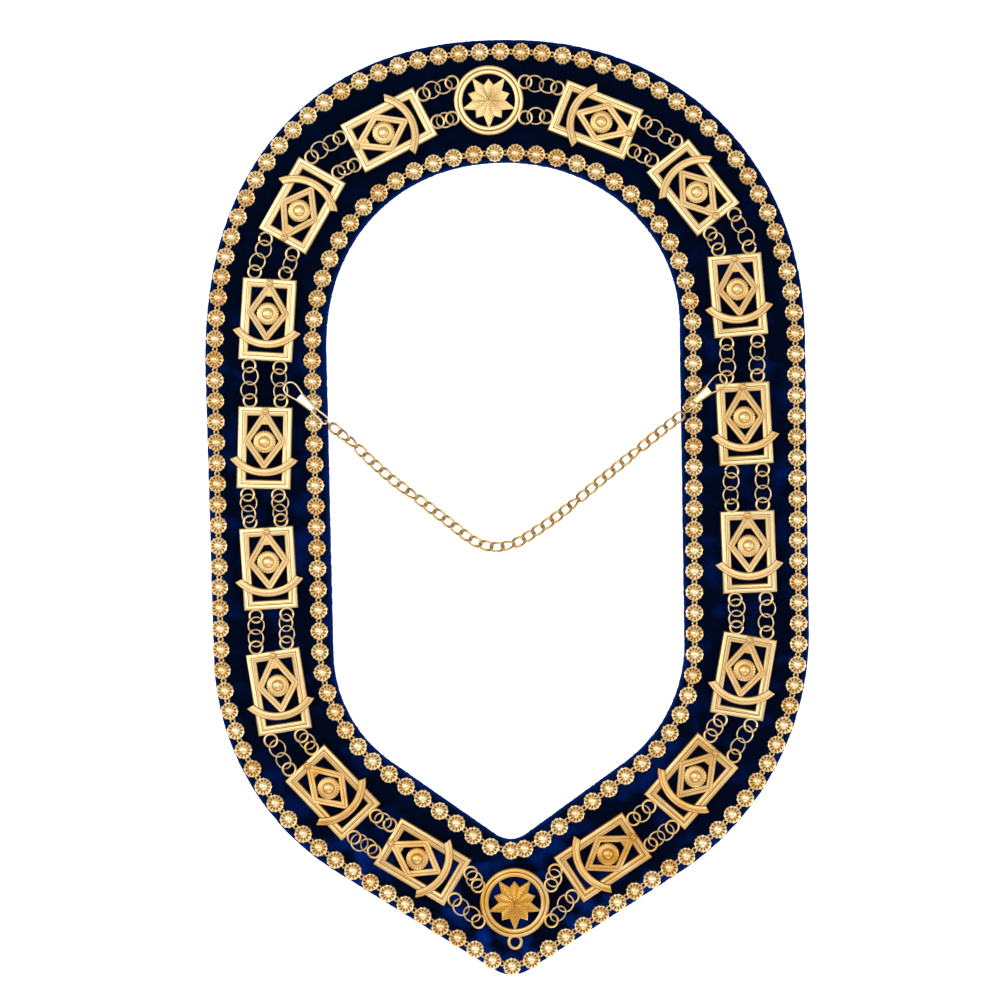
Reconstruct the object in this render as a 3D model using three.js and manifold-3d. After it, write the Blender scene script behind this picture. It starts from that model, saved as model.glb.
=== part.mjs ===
// A chain of office: a velvet collar with gilt rosette trim, carrying sixteen openwork plaques
// and two star medallions joined by jump rings, with a curb chain across the shoulders.
// Millimetres. The collar lies flat, face up: +Z up, +Y towards the back of the neck,
// origin under the middle of the whole on the surface that it lies on.
import * as THREE from 'three';
import { mergeVertices } from 'three/addons/utils/BufferGeometryUtils.js';
import Module from 'manifold-3d';

const wasm = await Module();
wasm.setup();

// ---- driving dimensions ----

// Collar: a rounded back, sides that are nearly straight, and a V at the front. It is soft and
// lies a little unevenly, so each closed line has a right and a left half of its own.
const OUTER_EDGE = {
  backY: 285, tipY: -290.2, slope: 0.633, tipRadius: 28,
  right: { arch: 183, squareness: 2.15, centreY: 98.6, hip: 183.6, corner: 174.6 },
  left: { arch: 183.9, squareness: 2.27, centreY: 86.3, hip: 180.4, corner: 158.6 },
};
const INNER_EDGE = {
  backY: 209.7, tipY: -206.9, slope: 0.71, tipRadius: 21.1,
  right: { arch: 106.2, squareness: 2.01, centreY: 111.8, hip: 107.2, corner: 89.6 },
  left: { arch: 109.7, squareness: 2.13, centreY: 97.4, hip: 107.1, corner: 82.5 },
};
const HIP_Y = -94;
const VELVET_THICK = 3;

// Trim: round rosettes on a narrow strip along each edge, a few millimetres in.
const OUTER_TRIM = {
  backY: 277.4, tipY: -285.1, slope: 0.654, tipRadius: 37.3,
  right: { arch: 176.8, squareness: 2.15, centreY: 92.9, hip: 177, corner: 165 },
  left: { arch: 177.8, squareness: 2.31, centreY: 85.1, hip: 175.8, corner: 159.4 },
};
const INNER_TRIM = {
  backY: 215.8, tipY: -218.2, slope: 0.746, tipRadius: 31,
  right: { arch: 114.4, squareness: 2.17, centreY: 100.9, hip: 113.5, corner: 88.4 },
  left: { arch: 118.5, squareness: 2.23, centreY: 91.2, hip: 115.4, corner: 95.6 },
};
const ROSETTE_ACROSS = 11.6;
const ROSETTE_PITCH = 12.7;
const TRIM_NECK = 2.4;
const TRIM_THICK = 1.7;
const TRIM_LAP = 0.34;

// Plaques: an oblong frame with a lozenge, a sun and a swag in its opening.
const FRAME = { wide: 33, long: 50.3, rail: 5.8, deep: 3.9 };
const LOZENGE = { headY: 22.4, sideX: 11.6, sideY: 4, footY: -12.2, bar: 3.4, low: 0.6, thick: 2.2 };
const SUN = { y: 3.7, radius: 7, low: 0.8, thick: 3.6, sides: 8 };
const SWAG = { centreY: 9.5, radius: 24.6, wide: 4.8, halfAngle: 0.84, low: 1.4, thick: 3, segments: 5 };

// Medallions: a ring round a ten-pointed star with a raised middle.
const MEDAL_RING = { outer: 21.3, inner: 15.9, deep: 3.9, segments: 20 };
const STAR = { long: 17.2, short: 13.2, valley: 10.2, low: 0.6, thick: 2, peak: 1.3 };
const JEWEL_RING = { outer: 4.8, hole: 2.6, thick: 2, standOff: 2.2 };

// Eyelets soldered to plaques and medallions, and the loose rings that pass through them.
const EYELET = { outer: 4.8, hole: 2.8, thick: 0.9, sides: 6, standOff: 3.5 };
const PLAQUE_EYELET_X = 9.4;
const MEDAL_EYELET_ANGLE = 26 * Math.PI / 180;
const LOOSE_RING = { radius: 5.15, wire: 1.1, segments: 8 };
const RING_TILT = 35;

// Heights above the surface.
const GAP = 0.3;
const TRIM_FOOT = VELVET_THICK + GAP;
const PLAQUE_FOOT = VELVET_THICK + 0.4;
const EYELET_MID = VELVET_THICK + 3.8;

// Shoulder chain: flat curb links along a V that lies on the surface inside the collar and
// climbs to the clasps on the velvet, with an upright ring at each end. The route runs from
// left to right, the height last.
const CHAIN_LINK = { long: 7.9, wide: 7.3, wire: 1.2 };
const CHAIN_PITCH = 6.95;
const CHAIN_END_Z = 7.9;
const CHAIN_END_RING = { radius: 2.3, wire: 0.9, segments: 8 };
const CHAIN_ROUTE = [
  [-104.5, 48, 6.2], [-98.6, 43, 3.6], [-92.9, 38.1, 1.5], [-87, 32.4, 0.8], [-83.6, 28.9, 0.8],
  [-69.7, 16.4, 0.8], [-53.2, 3.9, 0.8], [-37.4, -8.4, 0.8], [-20.6, -21.2, 0.8], [-8.4, -24.9, 0.8],
  [0.4, -23.9, 0.8], [8.6, -20.9, 0.8], [27, -9, 0.8], [43, 3.4, 0.8], [57.6, 15.4, 0.8],
  [72.6, 27.5, 0.8], [87.3, 39.3, 0.8], [92.8, 43.7, 1.5], [98.4, 48.2, 3.6], [104.9, 53.1, 6.2],
];

// Clasps: a wire snap loop held by a folded tapering sheet, with a wire bow at its narrow end.
const CLASP = {
  wire: 1, bodyLong: 11.2, bodyWide: 6.2, bodyNarrow: 3.8, bodyThick: 1.7,
  loopHalf: 4.4, bowHalf: 2.3,
};
const CLASP_PITCH = -2 * Math.PI / 180;
const CLASP_PLACES = {
  left: { x: -118, y: 60.2, z: 9.2, heading: 137, roll: 7, loopLong: 10.9, bowLong: 11.9 },
  right: { x: 114.8, y: 62.5, z: 8.7, heading: 39, roll: -7, loopLong: 12.5, bowLong: 8.2 },
};

// Where each plaque lies: its middle, and the heading of the lozenge's head from +Y,
// anticlockwise in degrees. The two nearest the back medallion turn their swags towards it.
const LEFT_PLACES = [
  [-70, 230, 117], [-123.3, 184.4, 150], [-145.2, 115, -4], [-147.8, 36.9, -2],
  [-146, -36.5, 3], [-140.5, -111.7, 8.5], [-108.2, -173.6, 43], [-54, -216.5, 58.5],
];
const RIGHT_PLACES = [
  [56.1, 234.9, -112], [115, 193.1, -142], [141.7, 127.1, 4.5], [145, 48.9, 2.5],
  [146.8, -29.4, 1.5], [142.8, -105.2, -10.5], [110.4, -168.8, -41.5], [56, -214.8, -57],
];
const BACK_MEDALLION = [-9, 247.5, 0];
const FRONT_MEDALLION = [2, -242, 0];

// Gaps whose inner string has two loose rings, as every outer string has: the straight sides.
const LONG_INNER_STRINGS = [3, 4, 5, 12, 13, 14];
const NECK_MIDDLE = new THREE.Vector2(0, 20);

// ---- materials ----

const velvet = new THREE.MeshStandardMaterial({ color: 0x030a33, roughness: 0.95, metalness: 0 });
const gilt = new THREE.MeshStandardMaterial({ color: 0xd9a850, roughness: 0.3, metalness: 1 });
const brightGilt = new THREE.MeshStandardMaterial({ color: 0xe8c07a, roughness: 0.18, metalness: 1 });

// ---- solids ----

function solid(geometry) {
  for (const name of ['normal', 'uv']) geometry.deleteAttribute(name);
  const merged = mergeVertices(geometry, 1e-4);
  const vertProperties = new Float32Array(merged.attributes.position.array);
  const triVerts = new Uint32Array(merged.index.array);
  const made = new wasm.Manifold(new wasm.Mesh({ numProp: 3, vertProperties, triVerts }));
  if (made.volume() > 0) return made;
  for (let i = 0; i < triVerts.length; i += 3) {
    [triVerts[i], triVerts[i + 1]] = [triVerts[i + 1], triVerts[i]];
  }
  return new wasm.Manifold(new wasm.Mesh({ numProp: 3, vertProperties, triVerts }));
}

function joined(solids) {
  return solids.reduce((whole, next) => whole.add(next));
}

function meshOf(name, made, material) {
  const { vertProperties, triVerts } = made.getMesh();
  const geometry = new THREE.BufferGeometry();
  geometry.setAttribute('position', new THREE.Float32BufferAttribute(vertProperties, 3));
  geometry.setIndex(Array.from(triVerts));
  geometry.computeVertexNormals();
  const mesh = new THREE.Mesh(geometry, material);
  mesh.name = name;
  return mesh;
}

// A flat shape raised from one height by a thickness.
function plate(shape, low, thick) {
  const geometry = new THREE.ExtrudeGeometry(shape, { depth: thick, bevelEnabled: false, curveSegments: 6 });
  return solid(geometry.translate(0, 0, low));
}

function polygonPoints(radius, sides, turn = 0) {
  return Array.from({ length: sides }, (_, i) => {
    const angle = turn + i / sides * 2 * Math.PI;
    return new THREE.Vector2(radius * Math.cos(angle), radius * Math.sin(angle));
  });
}

// A flat washer of straight sides, centred at x, y and half way up at z.
function washer({ outer, hole, thick, sides }, x, y, z) {
  const turn = Math.PI / sides;
  const shape = new THREE.Shape(polygonPoints(outer, sides, turn));
  shape.holes.push(new THREE.Path(polygonPoints(hole / Math.cos(turn), sides, turn).reverse()));
  return plate(shape, z - thick / 2, thick).translate([x, y, 0]);
}

// A ring of three-sided wire, flat on its middle.
function wireRing(radius, wire, segments) {
  const profile = polygonPoints(wire / 2, 3);
  const geometry = new THREE.LatheGeometry(
    [...profile, profile[0]].map(p => new THREE.Vector2(radius + p.x, p.y)), segments);
  return solid(geometry.rotateX(Math.PI / 2));
}

function wireAlong(points, wire, steps) {
  const curve = new THREE.CatmullRomCurve3(points, false, 'centripetal');
  const section = new THREE.Shape(polygonPoints(wire / 2, 4));
  return solid(new THREE.ExtrudeGeometry(section, { steps, extrudePath: curve, bevelEnabled: false }));
}

// ---- outlines ----

// The arc that rounds the corner between two straight lines.
function roundedCorner(before, corner, after, radius, steps) {
  const inward = before.clone().sub(corner).normalize();
  const outward = after.clone().sub(corner).normalize();
  const half = inward.angleTo(outward) / 2;
  const middle = inward.clone().add(outward).normalize()
    .multiplyScalar(radius / Math.sin(half)).add(corner);
  const start = inward.clone().multiplyScalar(radius / Math.tan(half)).add(corner).sub(middle);
  const end = outward.clone().multiplyScalar(radius / Math.tan(half)).add(corner).sub(middle);
  const turn = Math.atan2(start.cross(end), start.dot(end));
  return Array.from({ length: steps + 1 }, (_, i) =>
    start.clone().rotateAround(new THREE.Vector2(), turn * i / steps).add(middle));
}

// One half of a closed line, drawn on the right, from its tip to its back: V, corner, side, arch.
function halfOutline({ backY, tipY, slope, tipRadius }, half, fineness) {
  const { arch, squareness, centreY, corner } = half;
  const hip = new THREE.Vector2(half.hip, HIP_Y);
  const shoulder = new THREE.Vector2(arch, centreY);
  const lean = (hip.x - shoulder.x) / (hip.y - shoulder.y);
  const kneeY = (tipY + slope * (shoulder.x - lean * shoulder.y)) / (1 - slope * lean);
  const knee = new THREE.Vector2(shoulder.x + lean * (kneeY - shoulder.y), kneeY);
  const tip = new THREE.Vector2(0, tipY);
  const steps = count => Math.round(count * fineness);
  const tipArc = roundedCorner(new THREE.Vector2(-knee.x, knee.y), tip, knee, tipRadius, steps(4));
  const points = tipArc.slice(Math.ceil(tipArc.length / 2) - 1);
  points[0].x = 0;
  points.push(...roundedCorner(tip, knee, shoulder, corner, steps(6)));
  const archSteps = steps(12);
  const power = 2 / squareness;
  for (let i = 0; i <= archSteps; i++) {
    const angle = i / archSteps * Math.PI / 2;
    const across = i === archSteps ? 0 : arch * Math.cos(angle) ** power;
    points.push(new THREE.Vector2(across, centreY + (backY - centreY) * Math.sin(angle) ** power));
  }
  return points;
}

// A closed line, anticlockwise from its tip.
function outline(line, fineness = 1) {
  const left = halfOutline(line, line.left, fineness).slice(1, -1).reverse();
  return halfOutline(line, line.right, fineness).concat(left.map(p => new THREE.Vector2(-p.x, p.y)));
}

// Points spaced evenly by distance round a closed outline, the last of them at its start, with the
// direction along it at each.
function stations(points, spacing, count) {
  const ring = points.concat([points[0]]);
  const reach = [0];
  for (let i = 1; i < ring.length; i++) reach.push(reach[i - 1] + ring[i].distanceTo(ring[i - 1]));
  return Array.from({ length: count }, (_, n) => {
    const distance = (reach.at(-1) + (n + 1 - count) * spacing) % reach.at(-1);
    const i = Math.max(1, reach.findIndex(r => r >= distance));
    const part = (distance - reach[i - 1]) / (reach[i] - reach[i - 1]);
    const at = ring[i - 1].clone().lerp(ring[i], part);
    const along = ring[i].clone().sub(ring[i - 1]).normalize();
    return { at, along };
  });
}

function lengthOf(points) {
  return points.reduce((sum, p, i) => sum + p.distanceTo(points[(i + 1) % points.length]), 0);
}

// ---- velvet and trim ----

function velvetCollar() {
  const shape = new THREE.Shape(outline(OUTER_EDGE));
  shape.holes.push(new THREE.Path(outline(INNER_EDGE).reverse()));
  return meshOf('velvet_collar', plate(shape, 0, VELVET_THICK), velvet);
}

// One strip of rosettes: two rows of flank points either side of the route, drawn in between.
function rosetteTrim(name, route, lap) {
  const length = lengthOf(route);
  const count = Math.round(length / ROSETTE_PITCH + lap);
  const spacing = length / (count - lap);
  const radius = ROSETTE_ACROSS / 2;
  const rows = { 1: [], '-1': [] };
  for (const { at, along } of stations(route, spacing, count)) {
    const across = new THREE.Vector2(-along.y, along.x);
    const flank = [[-spacing / 2, TRIM_NECK / 2], [-radius / 2, radius], [radius / 2, radius]];
    for (const side of [1, -1]) {
      for (const [on, off] of flank) {
        rows[side].push(at.clone().addScaledVector(along, on).addScaledVector(across, side * off));
      }
    }
  }
  const shape = new THREE.Shape(rows[-1]);
  shape.holes.push(new THREE.Path(rows[1].reverse()));
  return meshOf(name, plate(shape, TRIM_FOOT, TRIM_THICK), gilt);
}

// ---- plaques and medallions ----

function openFrame() {
  const half = { x: FRAME.wide / 2, y: FRAME.long / 2 };
  const corners = (x, y) => [[-x, -y], [x, -y], [x, y], [-x, y]].map(([a, b]) => new THREE.Vector2(a, b));
  const shape = new THREE.Shape(corners(half.x, half.y));
  shape.holes.push(new THREE.Path(corners(half.x - FRAME.rail, half.y - FRAME.rail).reverse()));
  return plate(shape, 0, FRAME.deep);
}

function lozenge() {
  const middleY = (LOZENGE.headY + LOZENGE.footY) / 2;
  const corners = shrink => [
    [0, LOZENGE.footY], [LOZENGE.sideX, LOZENGE.sideY], [0, LOZENGE.headY], [-LOZENGE.sideX, LOZENGE.sideY],
  ].map(([x, y]) => new THREE.Vector2(x * shrink, middleY + (y - middleY) * shrink));
  const shape = new THREE.Shape(corners(1 + LOZENGE.bar / 20));
  shape.holes.push(new THREE.Path(corners(1 - LOZENGE.bar / 8).reverse()));
  return plate(shape, LOZENGE.low, LOZENGE.thick);
}

function sun() {
  const disc = new THREE.Shape(polygonPoints(SUN.radius, SUN.sides, Math.PI / SUN.sides));
  return plate(disc, SUN.low, SUN.thick).translate([0, SUN.y, 0]);
}

function swag() {
  const bend = (radius, sign) => Array.from({ length: SWAG.segments + 1 }, (_, i) => {
    const angle = sign * SWAG.halfAngle * (2 * i / SWAG.segments - 1);
    return new THREE.Vector2(radius * Math.sin(angle), SWAG.centreY - radius * Math.cos(angle));
  });
  const half = SWAG.wide / 2;
  const shape = new THREE.Shape([...bend(SWAG.radius + half, 1), ...bend(SWAG.radius - half, -1)]);
  return plate(shape, SWAG.low, SWAG.thick);
}

function plaqueEyelets() {
  const reach = FRAME.long / 2 + EYELET.standOff;
  return [[1, 1], [-1, 1], [-1, -1], [1, -1]].map(([x, y]) =>
    new THREE.Vector2(x * PLAQUE_EYELET_X, y * reach));
}

function medallionEyelets() {
  const reach = MEDAL_RING.outer + EYELET.standOff;
  return [1, -1].flatMap(x => [1, -1].map(y => new THREE.Vector2(
    x * reach * Math.cos(MEDAL_EYELET_ANGLE), y * reach * Math.sin(MEDAL_EYELET_ANGLE))));
}

function eyelets(places) {
  return places.map(p => washer(EYELET, p.x, p.y, EYELET_MID - PLAQUE_FOOT));
}

function plaque() {
  return joined([openFrame(), lozenge(), sun(), swag(), ...eyelets(plaqueEyelets())]);
}

function medallionRing() {
  const shape = new THREE.Shape(polygonPoints(MEDAL_RING.outer, MEDAL_RING.segments));
  shape.holes.push(new THREE.Path(polygonPoints(MEDAL_RING.inner, MEDAL_RING.segments).reverse()));
  return plate(shape, 0, MEDAL_RING.deep);
}

// Five long points and five short ones, the first short one straight up.
function star() {
  const points = Array.from({ length: 20 }, (_, i) => {
    const reach = i % 2 ? STAR.valley : i % 4 ? STAR.long : STAR.short;
    const angle = Math.PI / 2 + i * Math.PI / 10;
    return new THREE.Vector2(reach * Math.cos(angle), reach * Math.sin(angle));
  });
  const boss = new THREE.CylinderGeometry(1.2, STAR.valley, STAR.peak, 10).rotateX(Math.PI / 2)
    .translate(0, 0, STAR.low + STAR.thick + STAR.peak / 2 - 0.01);
  return plate(new THREE.Shape(points), STAR.low, STAR.thick).add(solid(boss));
}

function jewelRing() {
  const y = -(MEDAL_RING.outer + JEWEL_RING.standOff);
  return washer({ ...JEWEL_RING, sides: 10 }, 0, y, MEDAL_RING.deep / 2);
}

function medallion(withJewelRing) {
  const pieces = [medallionRing(), star(), ...eyelets(medallionEyelets())];
  if (withJewelRing) pieces.push(jewelRing());
  return joined(pieces);
}

// ---- laying out the chain ----

function placedMesh(name, made, [x, y, heading]) {
  const mesh = meshOf(name, made, gilt);
  mesh.position.set(x, y, PLAQUE_FOOT);
  mesh.rotation.z = heading * Math.PI / 180;
  return mesh;
}

function placedEyelets(places, [x, y, heading]) {
  return places.map(p =>
    p.clone().rotateAround(new THREE.Vector2(), heading * Math.PI / 180).add(new THREE.Vector2(x, y)));
}

// The loop from the back medallion down the left side, round the front and up the right side.
function loopOrder() {
  const leftNames = LEFT_PLACES.map((place, i) => ({ name: `plaque_left_${i + 1}`, place }));
  const rightNames = RIGHT_PLACES.map((place, i) => ({ name: `plaque_right_${i + 1}`, place }));
  return [
    { name: 'back_medallion', place: BACK_MEDALLION, medallion: true },
    ...leftNames,
    { name: 'front_medallion', place: FRONT_MEDALLION, medallion: true },
    ...rightNames.reverse(),
  ];
}

// The two eyelets of a piece that face its neighbour, the outer one first.
function facingEyelets(piece, neighbour) {
  const local = piece.medallion ? medallionEyelets() : plaqueEyelets();
  const towards = new THREE.Vector2(neighbour.place[0], neighbour.place[1]);
  const nearest = placedEyelets(local, piece.place)
    .sort((a, b) => a.distanceTo(towards) - b.distanceTo(towards)).slice(0, 2);
  return nearest.sort((a, b) => b.distanceTo(NECK_MIDDLE) - a.distanceTo(NECK_MIDDLE));
}

// Loose rings between two eyelets, spaced as a drawn-out string, each tilted about its line.
function ringString(from, to, count) {
  const inEyelet = EYELET.hole + LOOSE_RING.radius - LOOSE_RING.wire;
  const inRing = 2 * LOOSE_RING.radius - LOOSE_RING.wire;
  const drawn = 2 * inEyelet + (count - 1) * inRing;
  const line = to.clone().sub(from);
  const turn = line.angle() * 180 / Math.PI;
  return joined(Array.from({ length: count }, (_, i) => {
    const at = from.clone().addScaledVector(line, (inEyelet + i * inRing) / drawn);
    return wireRing(LOOSE_RING.radius, LOOSE_RING.wire, LOOSE_RING.segments)
      .rotate([RING_TILT, 0, 0]).rotate([0, 0, turn])
      .translate([at.x, at.y, EYELET_MID]);
  }));
}

function chainOfPlaques() {
  const plaqueSolid = plaque();
  const pieces = loopOrder();
  const meshes = pieces.map(({ name, place, medallion: round }) =>
    placedMesh(name, round ? medallion(name === 'front_medallion') : plaqueSolid, place));
  pieces.forEach((piece, i) => {
    const next = pieces[(i + 1) % pieces.length];
    const here = facingEyelets(piece, next);
    const there = facingEyelets(next, piece);
    const number = String(i + 1).padStart(2, '0');
    const innerCount = LONG_INNER_STRINGS.includes(i) ? 2 : 1;
    meshes.push(meshOf(`outer_rings_${number}`, ringString(here[0], there[0], 2), gilt));
    meshes.push(meshOf(`inner_rings_${number}`, ringString(here[1], there[1], innerCount), gilt));
  });
  return meshes;
}

// ---- shoulder chain and clasps ----

function curbLink() {
  const oval = (long, wide) => [[1, 0], [0.5, 1], [-0.5, 1], [-1, 0], [-0.5, -1], [0.5, -1]]
    .map(([x, y]) => new THREE.Vector2(x * long / 2, y * wide / 2));
  const { long, wide, wire } = CHAIN_LINK;
  const shape = new THREE.Shape(oval(long, wide));
  const hole = [[-1, 0], [0, 1], [1, 0], [0, -1]]
    .map(([x, y]) => new THREE.Vector2(x * (long / 2 - 1.1 * wire), y * (wide / 2 - wire)));
  shape.holes.push(new THREE.Path(hole));
  return new THREE.ExtrudeGeometry(shape, { depth: wire, bevelEnabled: false }).translate(0, 0, -wire / 2);
}

function shoulderChain() {
  const route = new THREE.CatmullRomCurve3(
    CHAIN_ROUTE.map(p => new THREE.Vector3(...p)), false, 'centripetal');
  const count = Math.round(route.getLength() / CHAIN_PITCH);
  const up = new THREE.Vector3(0, 0, 1);
  const links = Array.from({ length: count + 1 }, (_, i) => {
    const along = route.getTangentAt(i / count);
    const across = up.clone().cross(along).normalize();
    const placed = new THREE.Matrix4()
      .makeBasis(along, across, along.clone().cross(across))
      .setPosition(route.getPointAt(i / count));
    return solid(curbLink().applyMatrix4(placed));
  });
  return meshOf('shoulder_chain', joined([...links, endRing(route, 0), endRing(route, 1)]), gilt);
}

// The upright ring past one end of the chain, through the end of its last link.
function endRing(route, end) {
  const { radius, wire, segments } = CHAIN_END_RING;
  const away = route.getTangentAt(end).setZ(0).normalize().multiplyScalar(end ? 1 : -1);
  const at = route.getPointAt(end)
    .addScaledVector(away, CHAIN_LINK.long / 2 - CHAIN_LINK.wire / 2 + radius).setZ(CHAIN_END_Z);
  return wireRing(radius, wire, segments).rotate([90, 0, 0])
    .rotate([0, 0, Math.atan2(away.y, away.x) * 180 / Math.PI]).translate([at.x, at.y, at.z]);
}

// Drawn with its narrow end at the origin and its loop along +X.
function clasp(loopLong, bowLong) {
  const { wire, bodyLong, bodyWide, bodyNarrow, bodyThick, loopHalf, bowHalf } = CLASP;
  const body = new THREE.Shape([
    new THREE.Vector2(0, -bodyNarrow / 2), new THREE.Vector2(bodyLong, -bodyWide / 2),
    new THREE.Vector2(bodyLong, bodyWide / 2), new THREE.Vector2(0, bodyNarrow / 2),
  ]);
  const loop = [
    [bodyLong - 1, bodyWide / 2 - 0.8], [bodyLong + loopLong * 0.55, loopHalf * 0.92],
    [bodyLong + loopLong * 0.85, loopHalf * 0.72], [bodyLong + loopLong, 0],
    [bodyLong + loopLong * 0.85, -loopHalf * 0.72], [bodyLong + loopLong * 0.55, -loopHalf * 0.92],
    [bodyLong - 1, -bodyWide / 2 + 0.8],
  ];
  const bow = [
    [1, bodyNarrow / 2 - 0.8], [-bowLong * 0.87, bowHalf], [-bowLong, bowHalf * 0.45],
    [-bowLong, -bowHalf * 0.45], [-bowLong * 0.87, -bowHalf], [1, -bodyNarrow / 2 + 0.8],
  ];
  const flat = points => points.map(([x, y]) => new THREE.Vector3(x, y, 0));
  return joined([
    plate(body, -bodyThick / 2, bodyThick),
    wireAlong(flat(loop), wire, 12),
    wireAlong(flat(bow), wire, 14),
  ]);
}

function claspMesh(side) {
  const { x, y, z, heading, roll, loopLong, bowLong } = CLASP_PLACES[side];
  const mesh = meshOf(`${side}_clasp`, clasp(loopLong, bowLong), brightGilt);
  mesh.position.set(x, y, z);
  mesh.rotation.set(roll * Math.PI / 180, CLASP_PITCH, heading * Math.PI / 180, 'ZYX');
  return mesh;
}

// ---- the whole ----

const chainOfOffice = new THREE.Group();
chainOfOffice.add(
  velvetCollar(),
  rosetteTrim('outer_rosette_trim', outline(OUTER_TRIM, 3), 0),
  rosetteTrim('inner_rosette_trim', outline(INNER_TRIM, 3), TRIM_LAP),
  ...chainOfPlaques(),
  shoulderChain(),
  claspMesh('left'),
  claspMesh('right'),
);

export default chainOfOffice;
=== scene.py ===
"""A chain of office laid flat: a velvet collar with gilt rosettes, plaques, medallions and chain.

Lengths in the making are millimetres, and each finished piece is scaled to metres once.
+Z is up out of the face and +Y points to the back of the neck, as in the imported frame.
"""
import math
import random

import bmesh
import bpy
from mathutils import Matrix, Vector, noise


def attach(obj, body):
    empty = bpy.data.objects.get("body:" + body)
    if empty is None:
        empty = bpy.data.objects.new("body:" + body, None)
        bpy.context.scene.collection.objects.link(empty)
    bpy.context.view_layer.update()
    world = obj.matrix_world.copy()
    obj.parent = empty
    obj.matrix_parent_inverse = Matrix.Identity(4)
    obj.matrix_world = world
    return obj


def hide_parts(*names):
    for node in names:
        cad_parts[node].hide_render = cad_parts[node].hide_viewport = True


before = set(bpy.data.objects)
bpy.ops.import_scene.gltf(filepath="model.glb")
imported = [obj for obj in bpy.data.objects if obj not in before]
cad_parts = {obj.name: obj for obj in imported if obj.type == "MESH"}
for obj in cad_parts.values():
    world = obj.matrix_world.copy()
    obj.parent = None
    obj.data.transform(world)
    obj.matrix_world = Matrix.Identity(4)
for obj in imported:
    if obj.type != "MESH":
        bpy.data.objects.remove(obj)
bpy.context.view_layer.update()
MM = 0.001

# ---- the collar's outline, as the frame has it ----

# Each closed line has a right and a left half of its own, for the cloth lies a little unevenly.
# From the back a half follows an oval arch down to centre_y, a nearly straight side through its
# hip, a round corner, and the slope of the V to a rounded tip. A squarer arch has a higher square.
OUTER_EDGE = dict(
    back_y=285, tip_y=-290.2, slope=0.633, tip_radius=20,
    right=dict(arch=183, square=2.15, centre_y=98.6, hip=183.6, corner=174.6),
    left=dict(arch=183.9, square=2.27, centre_y=86.3, hip=180.4, corner=158.6))
INNER_EDGE = dict(
    back_y=209.7, tip_y=-206.9, slope=0.71, tip_radius=15,
    right=dict(arch=106.2, square=2.01, centre_y=111.8, hip=107.2, corner=89.6),
    left=dict(arch=109.7, square=2.13, centre_y=97.4, hip=107.1, corner=82.5))
OUTER_TRIM = dict(
    back_y=277.4, tip_y=-285.1, slope=0.654, tip_radius=20,
    right=dict(arch=176.8, square=2.15, centre_y=92.9, hip=177, corner=165),
    left=dict(arch=177.8, square=2.31, centre_y=85.1, hip=175.8, corner=159.4))
INNER_TRIM = dict(
    back_y=215.8, tip_y=-218.2, slope=0.746, tip_radius=31,
    right=dict(arch=114.4, square=2.17, centre_y=100.9, hip=113.5, corner=88.4),
    left=dict(arch=118.5, square=2.23, centre_y=91.2, hip=115.4, corner=95.6))
HIP_Y = -94
VELVET_TOP = 3.0
TRIM_FOOT = 3.3
PLAQUE_FOOT = 3.4
ROSETTE_PITCH = 12.7
# How much of a pitch the inner trim's last rosette lies over its first.
INNER_TRIM_LAP = 0.34

# ---- where the plaques and medallions lie: middle, and heading from +Y anticlockwise ----

LEFT_PLACES = [
    (-70, 230, 117), (-123.3, 184.4, 150), (-145.2, 115, -4), (-147.8, 36.9, -2),
    (-146, -36.5, 3), (-140.5, -111.7, 8.5), (-108.2, -173.6, 43), (-54, -216.5, 58.5),
]
RIGHT_PLACES = [
    (56.1, 234.9, -112), (115, 193.1, -142), (141.7, 127.1, 4.5), (145, 48.9, 2.5),
    (146.8, -29.4, 1.5), (142.8, -105.2, -10.5), (110.4, -168.8, -41.5), (56, -214.8, -57),
]
BACK_MEDALLION = (-9, 247.5, 0)
FRONT_MEDALLION = (2, -242, 0)
# An inner string has one ring, but two along the sides, where the plaques lie further apart.
LONG_INNER_STRINGS = (3, 4, 5, 12, 13, 14)
NECK_MIDDLE = Vector((0, 20))

# ---- sizes of the gilt pieces ----

FRAME_WIDE, FRAME_LONG = 33, 50.3
# Each step inwards over a plaque's rail: how far across, how far up, and how bright it is painted, as
# painted highlight and shade.
RAIL_STEPS = [
    (0.3, 0.9, 0.8), (0.4, 0.3, 0.95), (0.9, 0.1, 1.0), (0.85, -0.06, 0.95), (0.25, -0.2, 0.8),
    (0.15, -0.45, 0.1), (0.12, 0, 0.1), (0.15, 0.45, 0.85), (0.55, 0.05, 0.9), (0.12, -0.4, 0.2),
    (0.12, 0.3, 0.75), (0.9, -0.2, 0.85), (0.6, -0.45, 0.6), (0.38, -0.9, 0.2),
]
RAIL_EDGE_Z = 2.2
LOZENGE_CORNERS = [(0, 24.6), (-13.2, 3.9), (0, -14.4), (13.2, 3.9)]
BAR_STEPS = [
    (0.3, 0.5, 0.75), (0.8, 0.25, 0.95), (0.65, -0.05, 0.8), (0.2, -0.2, 0.25),
    (0.2, 0.2, 0.75), (0.7, 0.05, 0.95), (0.8, -0.25, 0.7), (0.35, -0.5, 0.3),
]
BAR_FOOT_Z, BAR_EDGE_Z = 1.0, 3.1
# How far one goes along the slanting bars for each millimetre up the plaque.
BAR_PER_Y = 1.17
GUSSET_RADIUS, GUSSET_THICK = 3.6, 1.6
GUSSET_AT = (0, 16.1, 3.3)
BOSS_Y = 22.6
SUN_Y = 3.7
SWAG_CENTRE_Y = 9.5
SWAG_RADIUS = 24.4
# Where the swag's right end is cut off, and the way that the cut faces.
SWAG_TIP = Vector((20.8, -16.9, 0))
SWAG_END_FACES = Vector((0.37, 0.93, 0))
EYELET_RADIUS, EYELET_WIRE, EYELET_HOLE = 3.9, 1.4, 2.8
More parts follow.
